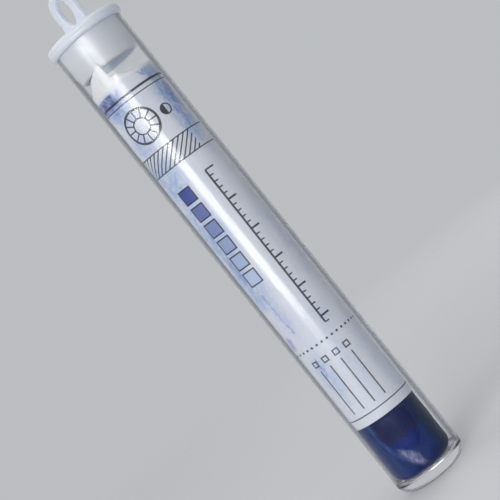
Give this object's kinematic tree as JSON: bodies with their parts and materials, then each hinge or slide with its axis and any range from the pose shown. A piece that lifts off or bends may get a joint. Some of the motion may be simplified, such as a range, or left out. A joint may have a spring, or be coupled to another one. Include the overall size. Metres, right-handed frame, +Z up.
{
  "type": "oil paint stick",
  "caption": "Stick of oil paint in a folded paper wrap, packed in a clear flat-based tube that stands on end or hangs from the loop of its push-in cap.",
  "frame": {"origin": "centre of the tube's flat base", "axes": "+Z up the tube towards the hang loop; the loop lies in the XZ plane, so its hole runs along Y"},
  "size_m": [0.024, 0.024, 0.1679],
  "materials": {
    "clear_tube": "clear polished plastic",
    "cap_plastic": "milky translucent soft plastic",
    "oil_paint": "waxy, smeared",
    "label_paper": "uncoated paper stained with paint"
  },
  "bodies": {
    "packed_tube": {"tube": "clear_tube", "paint_stick": "oil_paint", "paper_wrap": "label_paper"},
    "hang_cap": {"cap": "cap_plastic"}
  },
  "joints": [
    {"name": "cap_pull", "type": "slide", "parent": "packed_tube", "child": "hang_cap", "axis": [0, 0, 1], "range_m": [0, 0.03]}
  ]
}
